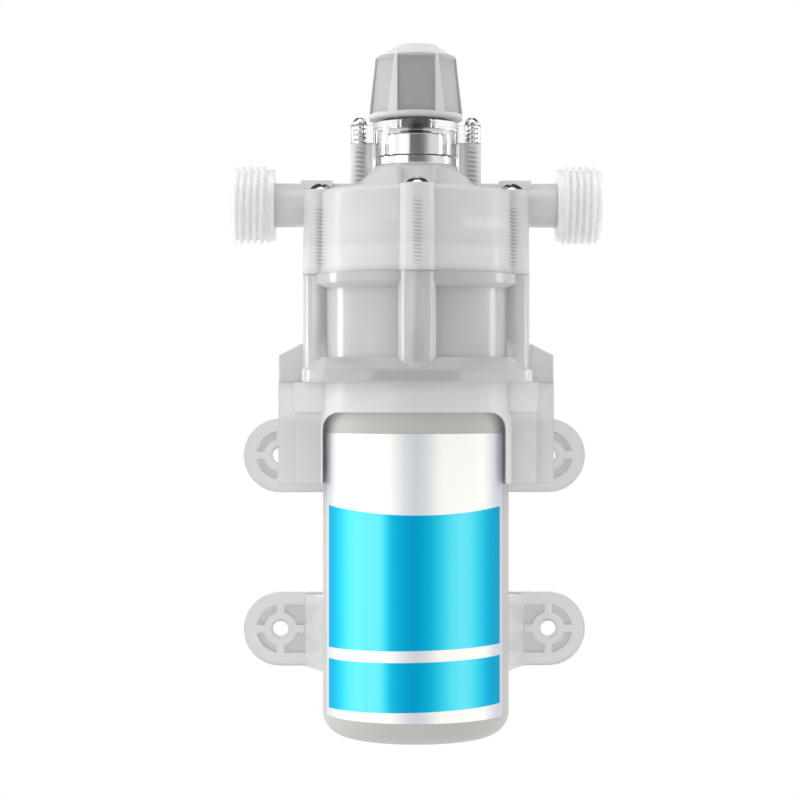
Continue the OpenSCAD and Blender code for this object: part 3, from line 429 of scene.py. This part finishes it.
def foot_plastic(name, clear):
    """Half clear feet, with painted shade darkening the floors of their recesses."""
    mat, shader, tree = new_material(name)
    # Painted shade on the floor of each recess
    painted_recess_shade = within(tree, axes(tree)[1], *RECESS_BACK, RECESS_EDGE)
    color = darken(tree, clear, product(tree, painted_recess_shade, RECESS_SHADE))
    set_plastic(tree, shader, color, 0.3, 0.7, radius=0.6 * MM, coat=1.0, sheen=0.2)
    return mat


def knob_plastic(name, rib, panel):
    """Bright ribs with flat panels, thinner than the ribs, between them; the panels' darker colour is
    painted shade of the dark hollow inside that shows through them.
    """
    mat, shader, tree = new_material(name)
    x, y, z = axes(tree)
    low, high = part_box("knob")
    y = number(tree, "SUBTRACT", y, AXIS_Y)
    radius = number(tree, "SQRT", number(tree, "ADD", product(tree, x, x), product(tree, y, y)))
    height = number(tree, "SUBTRACT", z, low[2])
    shoulder = high[2] - low[2] - KNOB_CROWN
    drawn_in = product(tree, height, KNOB_DRAFT / shoulder)
    cone = number(tree, "SUBTRACT", (high[0] - low[0]) / 2, drawn_in)
    # Painted shade: the sunk panels below the crown take the darker panel colour, clouded by noise
    sunk = ramp_between(tree, number(tree, "SUBTRACT", cone, radius), *PANEL_DEPTH)
    below_crown = fall_between(tree, height, shoulder - PANEL_END[0], shoulder - PANEL_END[1])
    clouds = noise(tree, 260, 4, (1, 1, 0.5))
    clouded_panel_shade = darken(tree, panel, product(tree, clouds, PANEL_CLOUDS))
    color = blend(tree, product(tree, sunk, below_crown), rib, clouded_panel_shade)
    set_plastic(tree, shader, color, 0.38, 0.35, radius=0.4 * MM, ior=1.5, coat=0.3, sheen=0.8,
                sheen_roughness=0.7, uneven=0.06, upright=0.4, look=KNOB_GRAIN)
    return mat


# Plastics: name, colour, roughness and transmission
COVER = cover_plastic("cover_frosted", srgb(244, 244, 245), srgb(255, 255, 255))
HOUSING = plastic("housing_frosted", srgb(232, 232, 234), 0.38, 0.6, radius=0.8 * MM,
                  coat=1.0, sheen=0.8, depth=3 * MM)
MOUNT = plastic("mount_frosted", srgb(255, 255, 254), 0.42, 0.36, coat=0.2, sheen=0.3, uneven=0.12)
FOOT = foot_plastic("foot_clear", srgb(240, 240, 241))
PORT = plastic("port_clear", srgb(244, 244, 244), 0.38, 0.2, depth=3 * MM)
# Knob: rib colour, then the darker panel colour, which is painted shade
KNOB = knob_plastic("knob_frosted", srgb(226, 226, 226), srgb(172, 172, 172))
CLEAR = plastic("clear", (0.97, 0.98, 0.98), 0.04, 1.0, radius=0.3 * MM)
WHITE = plastic("white", srgb(248, 248, 246), 0.4, 0.0)
NYLON = plastic("nylon", srgb(226, 222, 210), 0.45, 0.0)
PHENOLIC = plastic("phenolic", srgb(70, 55, 45), 0.5, 0.0)
CAN = plastic("can_paint", srgb(187, 186, 183), 0.42, 0.0)
RUBBER = rubber("rubber", (0.02, 0.02, 0.02))
FERRITE = rubber("ferrite", (0.05, 0.05, 0.055))
CARBON = rubber("carbon", (0.02, 0.02, 0.02))

# Metals: name, colour and roughness
BRIGHT = metal("bright_steel", (0.86, 0.86, 0.87), 0.12)
ZINC = metal("zinc_steel", (0.6, 0.6, 0.61), 0.3)
CHROME = metal("chromed", (0.85, 0.85, 0.86), 0.1)
DARK = metal("dark_steel", (0.07, 0.07, 0.075), 0.35)
GROUND = metal("ground_steel", (0.6, 0.6, 0.62), 0.22)
IRON = metal("lamination", (0.3, 0.3, 0.31), 0.45)
COPPER = metal("copper", (0.8, 0.42, 0.24), 0.35)
BRONZE = metal("bronze", (0.62, 0.45, 0.24), 0.4)

# Foil: dull colour, then the clear and bright colour of its painted reflection streaks, then the streaks'
# middle, reach and share
SILVER = (srgb(203, 209, 216), srgb(250, 249, 246), srgb(255, 254, 248),
          ((0.27, 0.26, 1.5), (0.70, 0.23, 1.6)))
BLUE = (srgb(0, 154, 202), srgb(0, 218, 243), srgb(104, 232, 250),
        ((0.25, 0.25, 1.0), (0.315, 0.13, 1.1), (0.69, 0.22, 1.0)))
# Lower and upper edge of the tall and of the low panel: height, bow and skew
PANELS = [((-24.9 * MM, 0, 0.6 * MM), (10.4 * MM, 2.3 * MM, 0)),
          ((-40.9 * MM, 0, 0.8 * MM), (-27.8 * MM, 0, 0.6 * MM))]
LABEL = label_foil("foil_label", SILVER, BLUE, PANELS)

FINISH = {
    COVER: ["upper_cover"],
    HOUSING: ["lower_housing"],
    MOUNT: ["motor_mount"],
    FOOT: ["foot_plate"],
    PORT: ["inlet_port", "outlet_port"],
    KNOB: ["knob"],
    CLEAR: ["regulator_collar"],
    WHITE: ["valve_plate", "diaphragm_seat", "pistons"],
    NYLON: ["wobble_plate", "bypass_poppet"],
    PHENOLIC: ["brush_holder"],
    RUBBER: ["diaphragm", "inlet_valves", "outlet_valve", "chamber_seal", "gallery_seal", "poppet_seal",
             "lead_grommet"],
    CAN: ["motor_can"],
    LABEL: ["motor_label"],
    ZINC: ["motor_front_plate", "mount_screws", "foot_plate_screws", "piston_screws", "spring_seat",
           "brush_springs"],
    BRIGHT: ["head_screws", "regulator_screws", "regulator_spring"],
    CHROME: ["spring_bonnet"],
    DARK: ["adjuster_screw", "adjuster_nut", "hub_set_screw"],
    GROUND: ["motor_shaft", "eccentric_hub", "bearing_inner_race", "bearing_outer_race",
             "bearing_balls"],
    IRON: ["armature_core"],
    FERRITE: ["field_magnets"],
    COPPER: ["windings", "commutator"],
    BRONZE: ["front_bearing", "rear_bearing", "bearing_cage"],
    CARBON: ["brushes"],
}


def paint_nodes():
    """Give every node of the frame its material."""
    for mat, names in FINISH.items():
        for name in names:
            slots = NODES[name].material_slots
            if not slots:
                NODES[name].data.materials.append(mat)
            for one in slots:
                one.material = mat


def add_to_scene(name, data):
    obj = bpy.data.objects.new(name, data)
    bpy.context.scene.collection.objects.link(obj)
    return obj


def ring_piece(name, rings, mat, sharp_degrees):
    """A closed skin over rings of equally many points; the last ring joins the first."""
    around = len(rings[0])
    faces = []
    for i in range(len(rings)):
        k = (i + 1) % len(rings)
        for j in range(around):
            n = (j + 1) % around
            faces.append((i * around + j, i * around + n, k * around + n, k * around + j))
    mesh = bpy.data.meshes.new(name)
    mesh.from_pydata([point for ring in rings for point in ring], [], faces)
    mesh.shade_smooth()
    mesh.set_sharp_from_angle(angle=math.radians(sharp_degrees))
    mesh.materials.append(mat)
    return add_to_scene(name, mesh)


def thread_radius(along, turn):
    """Outer radius of a port at a distance from its inner end, for a part of a turn."""
    root = THREAD_R - THREAD_DEPTH
    if along < COLLAR_CORNER:
        part = along / COLLAR_CORNER
        return root + (COLLAR_R - root) * math.sqrt(part * (2 - part))
    if along < COLLAR_END:
        return COLLAR_R
    if along > RIM_START:
        return RIM_R - max(0, along - THREAD_L + RIM_CHAMFER) * RIM_SLOPE
    phase = ((along - THREAD_START) / THREAD_PITCH - turn) % 1.0
    ridge = min(1.0, max(0.0, (0.5 - abs(phase - 0.5) - THREAD_ROOT) / THREAD_FLANK))
    ridge = ridge * ridge * (3 - 2 * ridge)
    from_collar = max(0.0, 1 - (along - COLLAR_END) / THREAD_RUNOUT)
    to_rim = max(0.0, 1 - (RIM_START - along) / THREAD_RUNOUT)
    floor = root + from_collar * (COLLAR_R - root) + to_rim * (RIM_R - root)
    return floor + (THREAD_R - floor) * ridge * (1 - to_rim)


def threaded_port(node, side):
    """Port with a helical thread in place of the CAD's rings; side is -1 or 1 along X."""
    low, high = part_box(node)
    inner = high[0] if side < 0 else low[0]
    middle_z = (low[2] + high[2]) / 2
    around, along = 144, 150
    rows = [(THREAD_L * i / along, None) for i in range(along + 1)]
    rows += [(THREAD_L, MOUTH_R + MOUTH_FLARE), (THREAD_L - MOUTH_FLARE_L, MOUTH_R),
             (THREAD_L - MOUTH_DEPTH, MOUTH_R), (THREAD_L - MOUTH_DEPTH, SLEEVE_R), (0, SLEEVE_R)]
    rings = []
    for distance, fixed in rows:
        ring = []
        for j in range(around):
            turn = j / around
            r = fixed or thread_radius(distance, turn)
            a = 2 * math.pi * turn * side
            ring.append((inner + side * distance, AXIS_Y + r * math.sin(a), middle_z + r * math.cos(a)))
        rings.append(ring)
    obj = ring_piece(node + "_thread", rings, PORT, 40)
    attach(obj, "pump_body")
    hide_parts(node)


def screw_threads():
    """Coarse threads on the two regulator screws, which show through the clear ears."""
    low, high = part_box("regulator_screws")
    foot, top = low[2], high[2] - REG_HEAD_H
    around, along = 32, 16 * int((top - foot) / REG_PITCH)
    rows = [(foot + (top - foot) * i / along, None) for i in range(along + 1)]
    rows += [(top, REG_CORE_R), (foot, REG_CORE_R)]
    for name, side in (("left", -1), ("right", 1)):
        middle_x = side * (high[0] - REG_HEAD_R)
        rings = []
        for z, fixed in rows:
            ring = []
            for j in range(around):
                phase = ((z - foot) / REG_PITCH - j / around) % 1.0
                ridge = max(0.0, 1 - abs(phase - 0.5) / REG_FLANK)
                r = fixed or REG_ROOT_R + (REG_THREAD_R - REG_ROOT_R) * ridge
                a = 2 * math.pi * j / around
                ring.append((middle_x + r * math.cos(a), AXIS_Y + r * math.sin(a), z))
            rings.append(ring)
        obj = ring_piece("regulator_thread_" + name, rings, BRIGHT, 50)
        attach(obj, "pump_body")


def soft_spring():
    """A copy of the regulator spring with its own mesh, fixed to the pump body in place of the CAD's
    spring.
    """
    obj = NODES["regulator_spring"].copy()
    obj.data = obj.data.copy()
    obj.name = "regulator_spring_soft"
    bpy.context.scene.collection.objects.link(obj)
    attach(obj, "pump_body")
    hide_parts("regulator_spring")
    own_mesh(obj)


def camera():
    data = bpy.data.cameras.new("camera")
    data.lens = FOCAL_MM
    data.sensor_width = SENSOR_MM
    data.sensor_fit = "HORIZONTAL"
    data.shift_x = AXIS_SHIFT
    data.clip_start = 0.01
    obj = add_to_scene("camera", data)
    obj.location = (CAMERA_DISTANCE * math.sin(CAMERA_TURN),
                    AXIS_Y - CAMERA_DISTANCE * math.cos(CAMERA_TURN), HORIZON_Z)
    obj.rotation_euler = (math.radians(90), 0, CAMERA_TURN)
    bpy.context.scene.camera = obj


def softbox(name, place, size, power):
    """Area light that faces the middle of the pump."""
    target = Vector((0, AXIS_Y, HORIZON_Z))
    data = bpy.data.lights.new(name, "AREA")
    data.shape = "RECTANGLE"
    data.size, data.size_y = size
    data.energy = power
    obj = add_to_scene(name, data)
    obj.location = place
    obj.rotation_euler = (target - Vector(place)).to_track_quat("-Z", "Y").to_euler()


def floor():
    """Plain white floor just under the can."""
    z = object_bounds()[0][2] - FLOOR_GAP
    corners = [(x * FLOOR_HALF, y * FLOOR_HALF, z) for x, y in ((-1, -1), (1, -1), (1, 1), (-1, 1))]
    mesh = bpy.data.meshes.new("floor")
    mesh.from_pydata(corners, [], [(0, 1, 2, 3)])
    mat, shader, _ = new_material("floor_white")
    shader.inputs["Base Color"].default_value = (0, 0, 0, 1)
    shader.inputs["Specular IOR Level"].default_value = 0
    shader.inputs["Emission Color"].default_value = (1, 1, 1, 1)
    shader.inputs["Emission Strength"].default_value = 1.0
    mesh.materials.append(mat)
    add_to_scene("floor", mesh)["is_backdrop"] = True


def studio():
    """White backdrop for the camera; the room in front of the pump is darker than its sides."""
    world = bpy.data.worlds.new("studio")
    world.use_nodes = True
    tree = world.node_tree
    way = tree.nodes.new("ShaderNodeSeparateXYZ")
    link(tree, tree.nodes.new("ShaderNodeTexCoord").outputs["Generated"], way.inputs["Vector"])
    x, y, z = way.outputs["X"], way.outputs["Y"], way.outputs["Z"]
    soft = number(tree, "MULTIPLY_ADD", ramp_between(tree, y, *SOFT_TURN), SOFT_RISE, SOFT_FRONT)
    sharp = number(tree, "MULTIPLY_ADD", ramp_between(tree, y, *SHARP_TURN), SHARP_RISE, SHARP_FRONT)
    # A dark card above and behind the pump, and a bright sky over its front
    behind = ramp_between(tree, y, *BEHIND)
    card = product(tree, ramp_between(tree, z, *CARD_HEIGHT), behind)
    sharp = product(tree, sharp, number(tree, "MULTIPLY_ADD", card, CARD_SHADE, 1))
    zenith = product(tree, ramp_between(tree, z, *ZENITH_HEIGHT), opposite(tree, behind))
    sharp = number(tree, "MULTIPLY_ADD", zenith, ZENITH_LIGHT, sharp)
    ray = tree.nodes.new("ShaderNodeLightPath")
    glossy = ray.outputs["Is Glossy Ray"]
    matt_part = product(tree, soft, opposite(tree, glossy))
    lit = number(tree, "ADD", matt_part, product(tree, sharp, glossy))
    lit = product(tree, lit, number(tree, "MULTIPLY_ADD", x, RIGHT_FALL, 1))
    base = tree.nodes["Background"]
    base.inputs["Color"].default_value = (1, 1, 1, 1)
    link(tree, lit, base.inputs["Strength"])
    seen = tree.nodes.new("ShaderNodeBackground")
    seen.inputs["Color"].default_value = (1, 1, 1, 1)
    seen.inputs["Strength"].default_value = 1.0
    mix = tree.nodes.new("ShaderNodeMixShader")
    link(tree, ray.outputs["Is Camera Ray"], mix.inputs["Fac"])
    link(tree, base.outputs[0], mix.inputs[1])
    link(tree, seen.outputs[0], mix.inputs[2])
    link(tree, mix.outputs[0], tree.nodes["World Output"].inputs["Surface"])
    bpy.context.scene.world = world
    bpy.context.scene.view_settings.view_transform = "Standard"
    for box in SOFTBOXES:
        softbox(*box)


camera()
studio()
paint_nodes()
threaded_port("inlet_port", -1)
threaded_port("outlet_port", 1)
screw_threads()
soft_spring()
floor()
